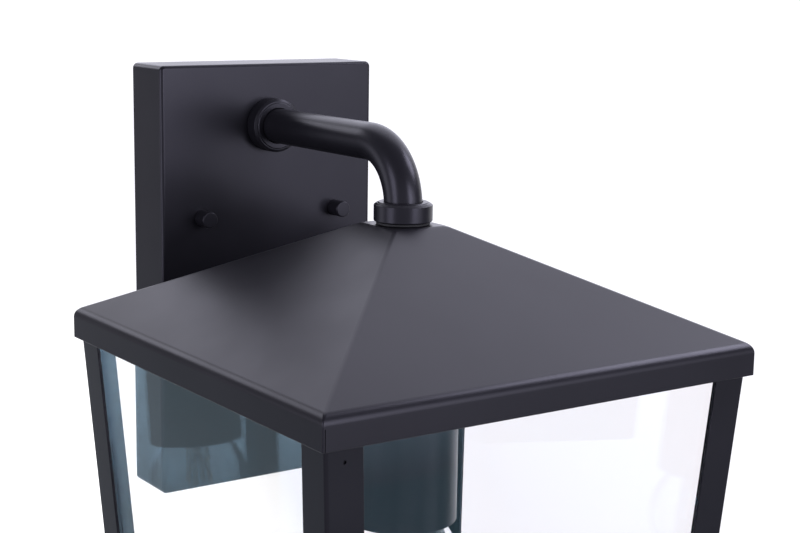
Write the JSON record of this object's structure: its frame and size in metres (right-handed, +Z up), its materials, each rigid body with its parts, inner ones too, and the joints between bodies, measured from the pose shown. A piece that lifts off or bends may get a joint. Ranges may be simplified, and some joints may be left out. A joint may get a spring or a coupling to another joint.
{
  "type": "outdoor wall lantern",
  "caption": "Square tapered wall lantern with a hipped roof, clear panes and a lamp in a dark cup, hung from a bent tube arm on a deep rectangular back plate.",
  "frame": {"origin": "centre of the back plate's rear plane, on the wall", "axes": "+Z up, +Y into the wall, +X to the right of a person facing the wall; the lantern hangs at -Y"},
  "size_m": [0.244, 0.286, 0.382],
  "materials": {
    "black_paint": "satin charcoal-black powder coat",
    "pane_glass": "clear float glass, faint blue-green edge",
    "bulb_glass": "clear blown glass",
    "porcelain": "white glazed",
    "brass": "plain stamped",
    "lamp_cap": "bright rolled thread",
    "zinc": "zinc plated",
    "ground_green": "green passivated",
    "gasket_rubber": "matte"
  },
  "bodies": {
    "root": {"arm_tube": "black_paint", "back_plate": "black_paint", "base_frame": "black_paint", "cage_nut_back": "zinc", "cage_nut_front": "zinc", "cage_nut_left": "zinc", "cage_nut_right": "zinc", "centre_contact": "brass", "cup_nut": "zinc", "glass_back": "pane_glass", "glass_front": "pane_glass", "glass_left": "pane_glass", "glass_right": "pane_glass", "ground_screw": "ground_green", "holder_body": "porcelain", "holder_cap": "porcelain", "lamp_rod": "zinc", "leg_back_left": "black_paint", "leg_back_right": "black_paint", "leg_front_left": "black_paint", "leg_front_right": "black_paint", "leg_screw_base_back_left": "black_paint", "leg_screw_base_back_right": "black_paint", "leg_screw_base_front_left": "black_paint", "leg_screw_base_front_right": "black_paint", "leg_screw_top_back_left": "zinc", "leg_screw_top_back_right": "zinc", "leg_screw_top_front_left": "zinc", "leg_screw_top_front_right": "zinc", "mounting_strap": "zinc", "mounting_stud_left": "zinc", "mounting_stud_right": "zinc", "rod_sleeve": "black_paint", "roof": "black_paint", "roof_collar": "black_paint", "roof_gasket": "gasket_rubber", "roof_nut": "zinc", "roof_washer": "zinc", "screw_shell": "brass", "socket_cup": "black_paint", "stud_nut_left": "zinc", "stud_nut_right": "zinc", "top_frame": "black_paint", "wall_collar": "black_paint", "wall_nut": "zinc", "wall_rod": "zinc", "wall_washer": "zinc"},
    "lamp_travel": {"lamp_tip": "brass"},
    "lamp": {"lamp_cap": "lamp_cap", "bulb_glass": "bulb_glass", "bulb_stem": "bulb_glass"},
    "left_cap_nut": {"cap_nut_left": "black_paint"},
    "right_cap_nut": {"cap_nut_right": "black_paint"}
  },
  "joints": [
    {"name": "lamp_drop", "type": "slide", "parent": "root", "child": "lamp_travel", "axis": [0, 0, -1], "range_m": [0, 0.0181]},
    {"name": "lamp_turn", "type": "hinge", "parent": "lamp_travel", "child": "lamp", "pos_m": [0, -0.164, -0.1], "axis": [0, 0, -1], "range_deg": [0, 1800]},
    {"name": "cap_nut_left_turn", "type": "hinge", "parent": "root", "child": "left_cap_nut", "pos_m": [-0.0425, -0.0403, 0.0347], "axis": [0, -1, 0], "range_deg": [0, 3600]},
    {"name": "cap_nut_right_turn", "type": "hinge", "parent": "root", "child": "right_cap_nut", "pos_m": [0.0425, -0.0403, 0.0347], "axis": [0, -1, 0], "range_deg": [0, 3600]}
  ],
  "couplings": [
    {"joint": "lamp_turn", "follows": "lamp_drop", "rad_per_m": 1731.4}
  ]
}
